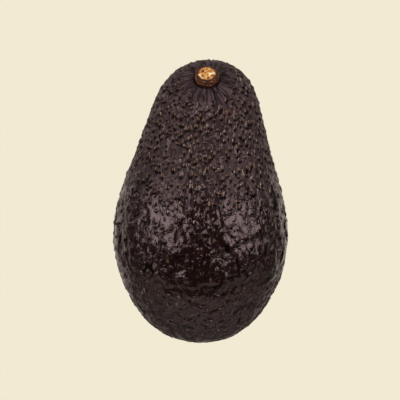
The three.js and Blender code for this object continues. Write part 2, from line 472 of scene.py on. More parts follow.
def spokes(waves, length):
    """Places whose noise makes about that many waves round the stem and changes over the length."""
    return np.column_stack([waves * np.cos(spoke_turn), waves * np.sin(spoke_turn), from_button / length])


near_stem = ramp(from_button, *SPOKES_START) * (1 - ramp(from_button, *SPOKES_END))
groove_places = ramp(noise_of(spokes(*GROOVE_PATCHES) + 5), *GROOVED)
grooves = line_of(noise_of(spokes(*GROOVE_SPOKES)), GROOVE_WIDTH) * near_stem * groove_places
ridges = noise_of(spokes(*RIDGE_SPOKES)) * near_stem
calm = np.interp(from_button, (CALM_NEAR, CALM_FAR), (CALM_SHARE, 1))
dimple = DIMPLE_DEPTH * np.exp(-((from_button / DIMPLE_WIDTH) ** 2))
print("grooves on", round(float((grooves > 0.5).mean()), 4), "of the rind")

# %% [markdown]
# At the far end the flower stood. A small dry scar is left of it: a shallow pit with a raised,
# ragged rim. It can't be seen from the stem's side, but the fruit has one.

# %% Blossom scar
SCAR_RADIUS = 1.5
SCAR_DEPTH = 0.35
SCAR_EDGE = (0.7, 1.1)  # in shares of its radius
SCAR_RIM = 0.22
SCAR_RIM_WIDTH = 0.3
SCAR_WARP = (1.4, 0.35)

blossom_end = skin[np.argmin(skin[:, 1])]
from_scar = np.linalg.norm(warped(skin, *SCAR_WARP) - blossom_end, axis=1) / SCAR_RADIUS
scar = 1 - ramp(from_scar, *SCAR_EDGE)
rim_way = (from_scar - SCAR_EDGE[1]) / SCAR_RIM_WIDTH
scar_rise = SCAR_RIM * np.exp(-(rim_way**2)) - SCAR_DEPTH * scar
print("blossom scar at, mm:", blossom_end.round(1))

# %% [markdown]
# Now the heights are added up, each form times its height in millimetres. The neck gets more of the
# pebbles and warts, the belly more of the folds, and the blossom half little but its ripples. The
# socket is pressed in round the button, and nothing reaches past the solid's box, which keeps the
# flat spot that the fruit lies on.

# %% Add up the relief and press in the socket
LIP = (0.1, 0.45)
SOCKET_GAP = 0.35
STEM_END = 12  # the socket reaches nothing that is further than this from the button
LUMP_HEIGHT = 0.25
FOLD_FORMS = ((swells, 0.34), (creases, -0.14), (steps, 0.22), (threads, 0.03), (curls, 0.1))
PEBBLE_SHARE = 0.6  # of a pebble's own height
VALLEY_DEPTH = 0.04
RIPPLE_HEIGHT = 0.22
ARC_HEIGHT = 0.16
GROOVE_DEPTH = 0.55
RIDGE_HEIGHT = 0.3
FOLDS_LESS = (0.55, 0.7)  # the share that is missing on the neck, and on the blossom half
PEBBLES_MORE, PEBBLES_LESS = 0.1, 0.75  # more on the neck, and less on the blossom half
WARTS_LEFT = 0.12  # the share that is left of the warts off the neck


def more_on_neck(left):
    """1 on the neck, falling to what is left off it."""
    return left + (1 - left) * neckness


fold_share = 1 - FOLDS_LESS[0] * neckness - FOLDS_LESS[1] * blossom_half
pebble_share = 1 + PEBBLES_MORE * neckness - PEBBLES_LESS * blossom_half
wart_share = more_on_neck(WARTS_LEFT)
height = LUMP_HEIGHT * lumps
height += sum(tall * form for form, tall in FOLD_FORMS) * fold_share
height += (PEBBLE_SHARE * pebble_rise - VALLEY_DEPTH * valleys) * pebble_share
height += wart_rise * wart_share + RIPPLE_HEIGHT * ripples + ARC_HEIGHT * arcs
height = height * calm - GROOVE_DEPTH * grooves + RIDGE_HEIGHT * ridges - dimple + scar_rise
placed = skin + outward * height[:, None]
at_stem_end = from_button < STEM_END
socket = (1 - ramp(off_axis, BUTTON_RADIUS + LIP[0], BUTTON_RADIUS + LIP[1])) * at_stem_end
over_floor = (placed - (button_foot - button_axis * SOCKET_GAP)) @ button_axis
placed -= np.outer(socket * np.clip(over_floor, 0, None), button_axis)
placed = np.clip(placed, np.array(cad_box[0]) / MM, np.array(cad_box[1]) / MM)
rind_mesh.vertices.foreach_set("co", (placed * MM).astype(np.float32).ravel())
print("rind box, mm:", placed.min(0).round(2), placed.max(0).round(2))

# %% [markdown]
# A material can't see how the relief was made. So the values that the finish follows are stored on
# the mesh as attributes, one number for each point, which a shader reads by name.

# %% Store what the finish follows
PEBBLY = (6, 14)  # from the button, where the pebbles and warts begin and are all there
STEM_SIDE = (7, 20)  # where the bloom round the stem begins to fade and is gone
SOCKET_EDGE = 5.5
WARTS_END = 14  # from above the flat spot to where, on the blossom half, the drawn bumps are gone
WART_TIPS_LEFT = 0.4  # the share of the warts' tips that is left off the neck
WARTS_DRAWN_LEFT = 0.25  # the same for the drawn warts
NECK_PEBBLES_LESS = 0.5
# the hollows' value darkens the ground colour as painted shade, and roughens the wax
HOLLOWS = ((valleys, 0.3), (creases, 0.7), (grooves, 1))
# the crease value decides where the matt near-black of the painted shade lies
CREASED = ((creases * fold_share, 1), (grooves, 0.4), (arc_valleys, 0.7))


def store(mesh, name, values):
    """Store one number for each point of the mesh, under a name that a shader can read."""
    layer = mesh.attributes.new(name, "FLOAT", "POINT")
    layer.data.foreach_set("value", values.astype(np.float32))


followed = {
    "neck": neckness,
    "blossom_half": blossom_half,
    "pebbly": ramp(from_button, *PEBBLY),
    "near_stem": 1 - ramp(from_button, *STEM_SIDE),
    "tip": np.maximum(pebble_tips, wart_tips * more_on_neck(WART_TIPS_LEFT)) * calm,
    "hollow": np.clip(sum(share * form for form, share in HOLLOWS), 0, 1),
    "crease": np.clip(sum(share * form for form, share in CREASED), 0, 1),
    "arc": arcs,
    "ridge": ridges,
    "socket_shadow": (1 - ramp(off_axis, BUTTON_RADIUS, SOCKET_EDGE)) * at_stem_end,
    "scar": scar,
}
fade_low = 1 - ramp(-skin[:, 1], 0, WARTS_END)
pebble_drawn["size"] = pebble_drawn["size"] * (1 - NECK_PEBBLES_LESS * neckness) * fade_low
wart_drawn["size"] = wart_drawn["size"] * more_on_neck(WARTS_DRAWN_LEFT) * fade_low
for kind, drawn in (("pebble", pebble_drawn), ("wart", wart_drawn)):
    followed |= {f"{kind}_{name}": values for name, values in drawn.items()}
for name, values in followed.items():
    store(rind_mesh, name, values)
spoke_place = rind_mesh.attributes.new("spoke_place", "FLOAT_VECTOR", "POINT")
spoke_place.data.foreach_set("vector", spokes(1, 1).astype(np.float32).ravel())
rind_mesh.shade_smooth()
rind_mesh.update()
rind = bpy.data.objects.new("pebbled_rind", rind_mesh)
bpy.context.scene.collection.objects.link(rind)
print("stored for the finish:", list(followed))

# %% [markdown]
# ## The stem button
#
# Picking clips the stalk and leaves a button of wood in its socket: a cut face of pale fibres in a
# collar of wrinkled bark. A woodturner would cut it from an outline on a lathe, and so does this
# cell: the outline is drawn once, in shares of the radius and the height, and spun round.

# %% Turn the button
BUTTON_OUTLINE = (
    [0, 0], [0.45, 0], [0.88, 0], [0.97, 0.14], [1, 0.33], [0.96, 0.46], [0.93, 0.56], [0.94, 0.62],
    [0.95, 0.68], [0.91, 0.8], [0.86, 0.9], [0.81, 0.96], [0.76, 0.98], [0.7, 0.97], [0.64, 0.94],
    [0.58, 0.93], [0.4, 0.94], [0.2, 0.98], [0, 0.97],
)
OUTLINE_CUTS = 4
BUTTON_STEPS = 128
SAME_TURNED_POINT = 1e-4

lathe = bmesh.new()
outline = [lathe.verts.new((BUTTON_RADIUS * r, 0, BUTTON_HEIGHT * h)) for r, h in BUTTON_OUTLINE]
edges = [lathe.edges.new(pair) for pair in zip(outline, outline[1:])]
bmesh.ops.subdivide_edges(lathe, edges=edges, cuts=OUTLINE_CUTS)
bmesh.ops.spin(
    lathe,
    geom=lathe.verts[:] + lathe.edges[:],
    cent=(0, 0, 0),
    axis=(0, 0, 1),
    angle=2 * math.pi,
    steps=BUTTON_STEPS,
    use_merge=True,
)
bmesh.ops.remove_doubles(lathe, verts=lathe.verts, dist=SAME_TURNED_POINT)
bmesh.ops.recalc_face_normals(lathe, faces=lathe.faces)
button_mesh = bpy.data.meshes.new("clipped_stem_button")
lathe.to_mesh(button_mesh)
lathe.free()
turned = np.empty(3 * len(button_mesh.vertices), np.float32)
button_mesh.vertices.foreach_get("co", turned)
turned = turned.reshape(-1, 3).astype(float)
print("button:", len(turned), "points")

# %% [markdown]
# Turned wood is too smooth for it. The bark gets its lobes, folds that run round it, and blisters.
# The cut face gets torn fibres and small pits. The wood's own coordinates are stored before it is
# stood up in its socket, so that its grain can follow the cut face.

# %% Roughen the bark and the cut face
BUTTON_LOBES = ((0.03, 2, 0.6), (0.018, 5, 0), (0.012, 9, 2))  # share of the radius, waves, phase
BARK_FOLD = 0.2
BARK_FOLD_WAVES = (2.0, 2.0, 5.5)  # round the button, twice, and up it
BARK_BLISTER = 0.14
FACE_LUMP = 0.3
FACE_PIT = 0.5
RIM = (0.68, 0.76)  # where the cut face turns into bark, in shares of the radius
FACE_LEVEL = (0.86, 0.92)  # the share of the height above which the face lies
FACE_END = (0.6, 0.72)  # where its fibres and pits end, in shares of the radius
BARK_START = (0.0, 0.1)
BLISTER_WAVES = 1.3  # to a millimetre, as the two below
FACE_WAVES = (0.9, 0.9, 0)
PIT_WAVES = (1.15, 1.15, 0)
PITTED = (0.12, 0.45)

turn = np.arctan2(turned[:, 1], turned[:, 0])
share = np.hypot(turned[:, 0], turned[:, 1]) / BUTTON_RADIUS
up = turned[:, 2] / BUTTON_HEIGHT
up_on_face = ramp(up, *FACE_LEVEL)
on_bark = np.maximum(ramp(share, *RIM), 1 - up_on_face) * ramp(up, *BARK_START)
on_face = (1 - ramp(share, *FACE_END)) * up_on_face
lobes = 1 + sum(size * np.cos(waves * turn + phase) for size, waves, phase in BUTTON_LOBES)
round_bark = np.column_stack([np.cos(turn), np.sin(turn), up]) * BARK_FOLD_WAVES
bark_rise = BARK_FOLD * noise_of(round_bark) + BARK_BLISTER * noise_of(turned * BLISTER_WAVES + 9)
face_rise = FACE_LUMP * noise_of(turned * FACE_WAVES + 40)
pits = ramp(noise_of(turned * PIT_WAVES + 70), *PITTED)
turned[:, :2] *= (lobes + on_bark * bark_rise / BUTTON_RADIUS)[:, None]
turned[:, 2] += on_face * (face_rise - FACE_PIT * pits)
own_place = button_mesh.attributes.new("own_place", "FLOAT_VECTOR", "POINT")
own_place.data.foreach_set("vector", turned.astype(np.float32).ravel())
for name, values in (("bark", on_bark), ("pit", on_face * pits), ("up", up)):
    store(button_mesh, name, values)
upright = Vector((0, 0, 1)).rotation_difference(Vector(button_axis)).to_matrix()
standing = turned @ np.array(upright).T + button_foot
button_mesh.vertices.foreach_set("co", (standing * MM).astype(np.float32).ravel())
button_mesh.shade_smooth()
button_mesh.update()
button = bpy.data.objects.new("clipped_stem_button", button_mesh)
bpy.context.scene.collection.objects.link(button)
print("button box, mm:", standing.min(0).round(2), standing.max(0).round(2))

# %% [markdown]
# ## Finishes
#
# Every finish is a tree of shader nodes. One small function adds a node: what it is, what goes into
# each of its sockets, and its settings. A socket takes a value, another node, or one of its outputs.

# %% One function for nodes
FACTOR, FIRST, SECOND = 0, 6, 7  # the sockets of a Mix node that blends two colours


def add_node(tree, kind, inputs, **settings):
    """Add a node with its settings, and fill or link its inputs."""
    node = tree.nodes.new(kind)
    for name, value in settings.items():
        setattr(node, name, value)
    for name, value in inputs.items():
        if isinstance(value, bpy.types.Node):
            value = next(output for output in value.outputs if output.enabled)
        if isinstance(value, bpy.types.NodeSocket):
            tree.links.new(value, node.inputs[name])
        else:
            node.inputs[name].default_value = value
    return node


def empty_tree(owner):
    """Turn on the nodes of a material or world, and clear them."""
    owner.use_nodes = True
    owner.node_tree.nodes.clear()
    return owner.node_tree


print("two colours are blended in sockets", FIRST, "and", SECOND, "by socket", FACTOR)

# %% [markdown]
# ## The rind's finish
#
# A ripe rind is nearly black, brown where it is corky and purple where it bloomed, under natural
# wax. The wax is what the eye reads: its reflections of the studio's lights draw every pebble. The
# colour under it is laid on as a painter lays thin coats. Each coat says what decides where it lies,
# where it starts and is full, how much of it there is, and its colour.

# %% Coats of colour
def coats(tree, ground, steps):
    """A ground colour under coats, each with its decider, where it starts, is full, and how much."""
    for decider, start, full, amount, coat in steps:
        share_of_it = add_node(
            tree,
            "ShaderNodeMapRange",
            {"Value": decider, "From Min": start, "From Max": full, "To Max": amount},
            interpolation_type="SMOOTHSTEP",
        )
        coat = linear(coat) if isinstance(coat, str) else coat
        ground = add_node(
            tree, "ShaderNodeMix", {FACTOR: share_of_it, FIRST: ground, SECOND: coat}, data_type="RGBA"
        )
    return ground


waxy_rind = bpy.data.materials.new("waxy_rind")
rind_tree = empty_tree(waxy_rind)
rind_place = add_node(rind_tree, "ShaderNodeTexCoord", {}).outputs["Object"]
stored = {
    name: add_node(rind_tree, "ShaderNodeAttribute", {}, attribute_name=name).outputs["Fac"]
    for name in followed
}
neck, low_half, pebbly, stem_side = [stored[n] for n in ("neck", "blossom_half", "pebbly", "near_stem")]
print("the rind's finish reads", len(stored), "values from the mesh")

# %% [markdown]
# The ground is brown, with purple on the neck, browner patches, a fine mottle, and pale arcs on the blossom
# half, which are painted highlights along its ripples. Round the stem lies a paler bloom. Its streaks are a
# noise on the same round places as the spokes of the mesh, so they run out from the button too.

# %% Ground colour and streaks
PATCH_SIZE = 9
MOTTLE_SIZE = 1.6
STREAK_WAVES = (9, 9, 0.22)  # round the stem, twice, and along a millimetre
PALE_AT, DARK_AT = 0.68, 0.32  # the streak noise's values where a streak is full

patches = add_node(
    rind_tree, "ShaderNodeTexNoise", {"Vector": rind_place, "Scale": 1 / (PATCH_SIZE * MM), "Detail": 3.0}
)
mottle = add_node(
    rind_tree, "ShaderNodeTexNoise", {"Vector": rind_place, "Scale": 1 / (MOTTLE_SIZE * MM), "Detail": 3.0}
)
spoke = add_node(rind_tree, "ShaderNodeAttribute", {}, attribute_name="spoke_place").outputs["Vector"]
streak_place = add_node(
    rind_tree, "ShaderNodeVectorMath", {0: spoke, 1: STREAK_WAVES}, operation="MULTIPLY"
)
streak_noise = add_node(
    rind_tree, "ShaderNodeTexNoise", {"Vector": streak_place, "Scale": 1.0, "Detail": 3.0}
)
tones = [
    add_node(rind_tree, "ShaderNodeMapRange", {"Value": streak_noise, "From Min": 0.5, "From Max": full_at})
    for full_at in (PALE_AT, DARK_AT)
]
pale_streak, dark_streak = [
    add_node(rind_tree, "ShaderNodeMath", {0: tone, 1: stem_side}, operation="MULTIPLY") for tone in tones
]
ground_coats = (
    (neck, 0.0, 1.0, 1.0, "#170a0d"),
    (patches, 0.4, 0.65, 0.5, "#130b06"),
    (mottle, 0.35, 0.7, 0.4, "#1d1315"),
    (stem_side, 0.0, 1.0, 0.85, "#3c2f32"),
    (stored["ridge"], 0.0, 0.35, 0.4, "#3a3034"),
    (stored["ridge"], -0.05, -0.35, 0.5, "#120b0b"),
    (pale_streak, 0.05, 0.5, 0.8, "#54474a"),
    (dark_streak, 0.05, 0.5, 0.9, "#080404"),
    # painted highlight: pale arcs along the ripples of the blossom half
    (stored["arc"], 0.3, 1.0, 0.4, "#5a4e50"),
    # painted shade: the hollows are darkened nearly to black
    (stored["hollow"], 0.2, 0.9, 0.8, "#080403"),
    # painted shadow: a dark ring on the skin round the button's socket
    (stored["socket_shadow"], 0.2, 0.9, 0.85, "#2c150e"),
)
ground_colour = coats(rind_tree, linear(RIND_BROWN), ground_coats)
print("ground colour:", len(ground_coats), "coats over", RIND_BROWN)

# %% [markdown]
# Under the size of a mesh face the relief goes on in the shader, over each wart and pebble. From the
# numbers that the mesh keeps of the nearest one, the shader makes a rounded top, a dark dry middle, a thin
# rim of cork on its left and right that is also a painted highlight, and a painted shadow at its foot on
# the side towards the blossom. A little noise on the way out makes them ragged. Cells of a Voronoi texture
# would be quicker to set up, but they wouldn't fall on the bumps of the mesh.

# %% Tops, middles, rims and feet of the bumps
BUMP_TOPS = {"wart": 0.3, "pebble": 0.4}  # how far out the top of each kind is flat
TOP_END = 1.1
RAGGED = 0.5
RAGGED_SIZE = 1.2
BUMP_BANDS = {
    # what it reads, where it starts, where it is full, and how much it is there
    "middle": ("way", 0.6, 0.35, 1.0),
    "rim_inside": ("way", 0.58, 0.76, 1.0),
    "rim_outside": ("way", 1.06, 0.9, 1.0),
    "foot_inside": ("way", 0.4, 0.65, 1.0),
    "foot_outside": ("way", 1.5, 1.15, 1.0),
    "left": ("left", 0.0, 0.6, 1.0),
    "right": ("left", -0.3, -0.7, 0.6),
    "shaded": ("down", 0.1, 0.7, 1.0),
}

ragged_noise = add_node(
    rind_tree, "ShaderNodeTexNoise", {"Vector": rind_place, "Scale": 1 / (RAGGED_SIZE * MM), "Detail": 1.0}
)
ragged_way = add_node(
    rind_tree, "ShaderNodeMapRange", {"Value": ragged_noise, "To Min": -RAGGED, "To Max": RAGGED}
)
bump_parts = {}
for kind, flat_top in BUMP_TOPS.items():
    way = add_node(rind_tree, "ShaderNodeMath", {0: stored[f"{kind}_way"], 1: ragged_way}, operation="ADD")
    read = {"way": way, "left": stored[f"{kind}_left"], "down": stored[f"{kind}_down"]}
    bands = BUMP_BANDS | {"top": ("way", TOP_END, flat_top, 1.0)}
    band = {
        name: add_node(
            rind_tree,
            "ShaderNodeMapRange",
            {"Value": read[reads], "From Min": start, "From Max": full, "To Max": amount},
            interpolation_type="SMOOTHSTEP",
        )
        for name, (reads, start, full, amount) in bands.items()
    }
    # the rims are paler on the left and right of each bump, a painted highlight over the cork
    lit_sides = add_node(rind_tree, "ShaderNodeMath", {0: band["left"], 1: band["right"]}, operation="MAXIMUM")
    factors_of = {
        "top": (band["top"],),
        "middle": (band["middle"],),
        "rim": (band["rim_inside"], band["rim_outside"], lit_sides),
        "foot": (band["foot_inside"], band["foot_outside"], band["shaded"]),
    }
    for part, factors in factors_of.items():
        bump_parts[kind, part] = stored[f"{kind}_size"]
        for factor in factors:
            bump_parts[kind, part] = add_node(
                rind_tree, "ShaderNodeMath", {0: bump_parts[kind, part], 1: factor}, operation="MULTIPLY"
            )
print("drawn in the finish:", list(bump_parts))

# %% [markdown]
# More is read from noise. Worms are thin winding ridges, where a noise crosses its middle value. On
# the blossom half the same thing, on a space that is squeezed along one axis and stretched along
# another, gives long level lines.

# %% Winding lines
WINDING_LINES = {
    # how space is scaled, the size, the noise's detail and distortion, and the line's half width
    "worm": ((1.0, 1.0, 1.0), 2.5, 0.0, 0.5, 0.08),
    "level": ((0.5, 0.8, 2.6), 2.6, 1.0, 0.3, 0.05),
}

winding = {}
for name, (scaling, size, detail, distortion, width) in WINDING_LINES.items():
    scaled = add_node(rind_tree, "ShaderNodeVectorMath", {0: rind_place, 1: scaling}, operation="MULTIPLY")
    line_noise = add_node(
        rind_tree,
        "ShaderNodeTexNoise",
        {"Vector": scaled, "Scale": 1 / (size * MM), "Detail": detail, "Distortion": distortion},
    )
    off_middle = add_node(rind_tree, "ShaderNodeMath", {0: line_noise, 1: 0.5}, operation="SUBTRACT")
    off_line = add_node(rind_tree, "ShaderNodeMath", {0: off_middle}, operation="ABSOLUTE")
    winding[name] = add_node(
        rind_tree,
        "ShaderNodeMapRange",
        {"Value": off_line, "From Min": width, "From Max": 0.0},
        interpolation_type="SMOOTHSTEP",
    )
print("winding lines:", list(winding))

# %% [markdown]
# Leather has small flat-topped islands with crisp edges. They lie where a noise passes a level, on a
# place that another noise bends first.

# %% Leathery islands
BEND_SIZE = 3.5
BEND = 3.0
ISLAND_SIZE = 2.6
ISLAND_LEVEL = (0.52, 0.57)

bend_noise = add_node(
    rind_tree, "ShaderNodeTexNoise", {"Vector": rind_place, "Scale": 1 / (BEND_SIZE * MM), "Detail": 0.0}
)
bend_shift = add_node(
    rind_tree,
    "ShaderNodeVectorMath",
    {0: bend_noise.outputs["Color"], 1: (0.5, 0.5, 0.5)},
    operation="SUBTRACT",
)
bent_place = add_node(
    rind_tree,
    "ShaderNodeVectorMath",
    {0: bend_shift, 1: (BEND * MM,) * 3, 2: rind_place},
    operation="MULTIPLY_ADD",
)
island_noise = add_node(
    rind_tree,
    "ShaderNodeTexNoise",
    {"Vector": bent_place, "Scale": 1 / (ISLAND_SIZE * MM), "Detail": 1.0, "Distortion": 0.4},
)
islands = add_node(
    rind_tree,
    "ShaderNodeMapRange",
    {"Value": island_noise, "From Min": ISLAND_LEVEL[0], "From Max": ISLAND_LEVEL[1]},
    interpolation_type="SMOOTHSTEP",
)
print("islands about", ISLAND_SIZE, "mm apart")

# %% [markdown]
# The lenticels are the smallest dots, through which the living fruit breathed. A Voronoi texture
# gives one to each of its cells, and the cell's random colour gives it a radius of its own.

# %% Lenticels
LENTICEL_SPACING = 1.8
LENTICEL_RADII = (0.08, 0.26)

lenticel_cells = add_node(
    rind_tree, "ShaderNodeTexVoronoi", {"Vector": rind_place, "Scale": 1 / (LENTICEL_SPACING * MM)}
)
lenticel_chance = add_node(rind_tree, "ShaderNodeSeparateColor", {"Color": lenticel_cells.outputs["Color"]})
lenticel_radius = add_node(
    rind_tree,
    "ShaderNodeMapRange",
    {
        "Value": lenticel_chance,
        "To Min": LENTICEL_RADII[0] / LENTICEL_SPACING,
        "To Max": LENTICEL_RADII[1] / LENTICEL_SPACING,
    },
)
in_lenticel = add_node(
    rind_tree, "ShaderNodeMath", {0: lenticel_cells, 1: lenticel_radius}, operation="DIVIDE"
)
lenticels = add_node(
    rind_tree,
    "ShaderNodeMapRange",
    {"Value": in_lenticel, "From Min": 1.0, "From Max": 0.5},
    interpolation_type="SMOOTHSTEP",
)
print("lenticels: every", LENTICEL_SPACING, "mm,", LENTICEL_RADII, "mm in radius")

# %% [markdown]
# None of these marks is everywhere. The bumps' rims and feet stop at the smooth ring round the stem
# and nearly stop on the blossom half. Worms come in short pieces and colour only the neck, and the
# level lines keep to the blossom half. A product of two values from 0 to 1 is there where both are.

# %% Where the marks lie
LOW_LEFT = 0.08  # the share of rims, middles and feet that is left on the blossom half
LOW_FADE = 0.3
WORM_PATCH = (0.45, 0.53)

less_low = add_node(
    rind_tree,
    "ShaderNodeMapRange",
    {"Value": low_half, "From Max": LOW_FADE, "To Min": 1.0, "To Max": LOW_LEFT},
)
where_bumps = add_node(rind_tree, "ShaderNodeMath", {0: pebbly, 1: less_low}, operation="MULTIPLY")
worms_here = add_node(
    rind_tree,
    "ShaderNodeMapRange",
    {"Value": bend_noise, "From Min": WORM_PATCH[0], "From Max": WORM_PATCH[1]},
    interpolation_type="SMOOTHSTEP",
)
places_of = {
    "neck": (neck, pebbly),
    "lenticels": (lenticels, pebbly),
    "worms": (winding["worm"], worms_here),
    "level_lines": (winding["level"], low_half),
}
places_of |= {key: (part, where_bumps) for key, part in bump_parts.items() if key[1] != "top"}
marked = {
    name: add_node(rind_tree, "ShaderNodeMath", {0: mark, 1: where}, operation="MULTIPLY")
    for name, (mark, where) in places_of.items()
}
neck_worms = add_node(
    rind_tree, "ShaderNodeMath", {0: marked["worms"], 1: marked["neck"]}, operation="MULTIPLY"
)
print("kept to their places:", list(marked))

# %% [markdown]
# Cork is the one light colour on a ripe rind, from rusty brown to a pale beige grey. It lies in the
# lenticels and on the rims of the warts and pebbles, where it is also a painted highlight on their left and
# right. The bumps' middles are almost black, and so are their feet, as painted shade. The worms on the neck
# are a little paler than the rind, as painted highlights on their crests, and so are the level lines on the
# blossom half. The blossom scar is dry. They are more coats.

# %% Cork, painted highlights and painted shade
CORK_SIZE = 3

cork_noise = add_node(
    rind_tree, "ShaderNodeTexNoise", {"Vector": rind_place, "Scale": 1 / (CORK_SIZE * MM), "Detail": 1.0}
)
cork_tone = add_node(
    rind_tree, "ShaderNodeMapRange", {"Value": cork_noise, "From Min": 0.35, "From Max": 0.6}
)
cork_and_highlight = add_node(
    rind_tree,
    "ShaderNodeMix",
    {FACTOR: cork_tone, FIRST: linear("#946c4c"), SECOND: linear("#b8a892")},
    data_type="RGBA",
)
mark_coats = (
    (marked["wart", "middle"], 0.1, 0.8, 0.6, "#0c0707"),
    (marked["pebble", "middle"], 0.1, 0.8, 0.5, "#0c0707"),
    # painted shade: the bumps' feet on the side towards the blossom are nearly black
    (marked["wart", "foot"], 0.1, 0.7, 0.85, "#040202"),
    (marked["pebble", "foot"], 0.1, 0.7, 0.85, "#040202"),
    # painted highlight: the crests of the worms on the neck are paler
    (neck_worms, 0.3, 0.9, 0.6, "#6a5c5c"),
    # painted highlight: pale level lines along the ripples of the blossom half
    (marked["level_lines"], 0.2, 0.8, 0.24, "#665a5c"),
    # cork rims, which are partly a painted highlight on the bumps' left and right
    (marked["wart", "rim"], 0.1, 0.6, 0.76, cork_and_highlight),
    (marked["pebble", "rim"], 0.1, 0.7, 0.34, cork_and_highlight),
    (marked["lenticels"], 0.0, 1.0, 0.5, "#a8742c"),
    (stored["tip"], 0.5, 1.0, 0.15, cork_and_highlight),
    (stored["scar"], 0.2, 0.8, 0.9, "#5a4632"),
)
rind_colour = coats(rind_tree, ground_colour, mark_coats)
print("marks over the ground colour:", len(mark_coats))

# %% [markdown]
# The fine relief is added up in millimetres, so that a bump node whose distance is one millimetre
# tilts the light as a real relief of that height would. One sum holds the forms that fade near the
# stem and on the blossom half, and the other those that stay.

# %% Add up the fine relief
FINE_SIZE = 0.9
WRINKLE_SIZE = 1.8
WRINKLE_SQUEEZE = (1.0, 0.3, 1.0)  # longer along the fruit than across
RISE_LEFT = 0.12  # the share of the first sum that is left on the blossom half

fine_noise = add_node(
    rind_tree, "ShaderNodeTexNoise", {"Vector": rind_place, "Scale": 1 / (FINE_SIZE * MM), "Detail": 2.0}
)
long_place = add_node(
    rind_tree, "ShaderNodeVectorMath", {0: bent_place, 1: WRINKLE_SQUEEZE}, operation="MULTIPLY"
)
wrinkles = add_node(
    rind_tree, "ShaderNodeTexNoise", {"Vector": long_place, "Scale": 1 / (WRINKLE_SIZE * MM), "Detail": 2.0}
)
neck_wrinkles = add_node(
    rind_tree, "ShaderNodeMath", {0: wrinkles, 1: marked["neck"]}, operation="MULTIPLY"
)
streaks = add_node(rind_tree, "ShaderNodeMath", {0: streak_noise, 1: stem_side}, operation="MULTIPLY")
fading_forms = (
    # each form and its height in mm
    (lenticels, 0.06),
    (bump_parts["wart", "top"], 0.42),
    (bump_parts["pebble", "top"], 0.45),
    (bump_parts["wart", "foot"], -0.12),
    (bump_parts["pebble", "foot"], -0.12),
    (marked["worms"], 0.06),
    (neck_worms, 0.16),
    (islands, 0.02),
    (wrinkles, 0.08),
    (neck_wrinkles, 0.5),
)
staying_forms = ((fine_noise, 0.04), (streaks, 2.0), (stored["arc"], 0.06), (marked["level_lines"], 0.25))
rise = 0.0
for form, tall in fading_forms:
    rise = add_node(rind_tree, "ShaderNodeMath", {0: form, 1: tall, 2: rise}, operation="MULTIPLY_ADD")
low_share = add_node(
    rind_tree,
    "ShaderNodeMapRange",
    {"Value": low_half, "From Max": LOW_FADE, "To Min": 1.0, "To Max": RISE_LEFT},
)
rise_share = add_node(rind_tree, "ShaderNodeMath", {0: low_share, 1: pebbly}, operation="MULTIPLY")
rise = add_node(rind_tree, "ShaderNodeMath", {0: rise, 1: rise_share}, operation="MULTIPLY")
for form, tall in staying_forms:
    rise = add_node(rind_tree, "ShaderNodeMath", {0: form, 1: tall, 2: rise}, operation="MULTIPLY_ADD")
rind_bump = add_node(rind_tree, "ShaderNodeBump", {"Height": rise, "Strength": 1.0, "Distance": MM})
print("forms in the fine relief:", len(fading_forms) + len(staying_forms))

# %% [markdown]
# Natural wax has an index of refraction of about 1.45. It is glossy on the belly, where handling
# polishes it, more satin on the neck, and rough on cork and in the hollows. It gives the eye broad,
# broken highlights with a faint rose tint, and deep darks between them.

# %% Waxy rind
WAX_IOR = 1.45
WAX_TINT = "#ffe4e6"
BELLY_ROUGHNESS = 0.19
NECK_ROUGHNESS = 0.5
SATIN = (0.35, 0.9)  # on the way from belly to neck, where the wax begins to turn satin and is satin

rougher_places = (
    (stem_side, 0.12),
    (stored["tip"], 0.1),
    (stored["hollow"], 0.12),
    (low_half, 0.12),
    (stored["scar"], 0.3),
)
rind_roughness = add_node(
    rind_tree,
    "ShaderNodeMapRange",
    {
        "Value": neck,
        "From Min": SATIN[0],
        "From Max": SATIN[1],
        "To Min": BELLY_ROUGHNESS,
        "To Max": NECK_ROUGHNESS,
    },
)
for place, more in rougher_places:
    rind_roughness = add_node(
        rind_tree, "ShaderNodeMath", {0: place, 1: more, 2: rind_roughness}, operation="MULTIPLY_ADD"
    )
rind_wax = add_node(
    rind_tree,
    "ShaderNodeBsdfPrincipled",
    {
        "Base Color": rind_colour,
        "Roughness": rind_roughness,
        "IOR": WAX_IOR,
        "Specular Tint": linear(WAX_TINT),
        "Normal": rind_bump,
    },
)
print("wax: IOR", WAX_IOR, "and roughness from", BELLY_ROUGHNESS, "to", NECK_ROUGHNESS)

# %% [markdown]
# At the feet of the bumps and in the creases, a matt near-black is mixed in as painted shade. Wax alone
# would mirror the lights there too, and the near-black gives the eye the crisp dark lines of the relief. A
# little of it lies all over the neck and dulls its wax.

# %% Painted shade in the creases
# the near-black of the painted shade in the creases and at the bumps' feet
PAINTED_SHADE_BLACK = "#080404"

painted_shade_matt = add_node(
    rind_tree, "ShaderNodeBsdfDiffuse", {"Color": linear(PAINTED_SHADE_BLACK), "Normal": rind_bump}
)
feet = add_node(
    rind_tree,
    "ShaderNodeMath",
    {0: marked["wart", "foot"], 1: marked["pebble", "foot"]},
    operation="MAXIMUM",
)
painted_shade_places = (
    # what decides it, where the painted shade starts and is full, how much of it there is, and how it fades
    # in
    (neck, 0.3, 1.0, 0.15, "LINEAR"),
    (feet, 0.1, 0.55, 0.9, "SMOOTHSTEP"),
    (stored["crease"], 0.3, 0.7, 0.8, "SMOOTHSTEP"),
)
painted_shade_share = 0.0
for decider, start, full, amount, fade in painted_shade_places:
    painted_shade_here = add_node(
        rind_tree,
        "ShaderNodeMapRange",
        {"Value": decider, "From Min": start, "From Max": full, "To Max": amount},
        interpolation_type=fade,
    )
    painted_shade_share = add_node(rind_tree, "ShaderNodeMath", {0: painted_shade_share, 1: painted_shade_here}, operation="MAXIMUM")
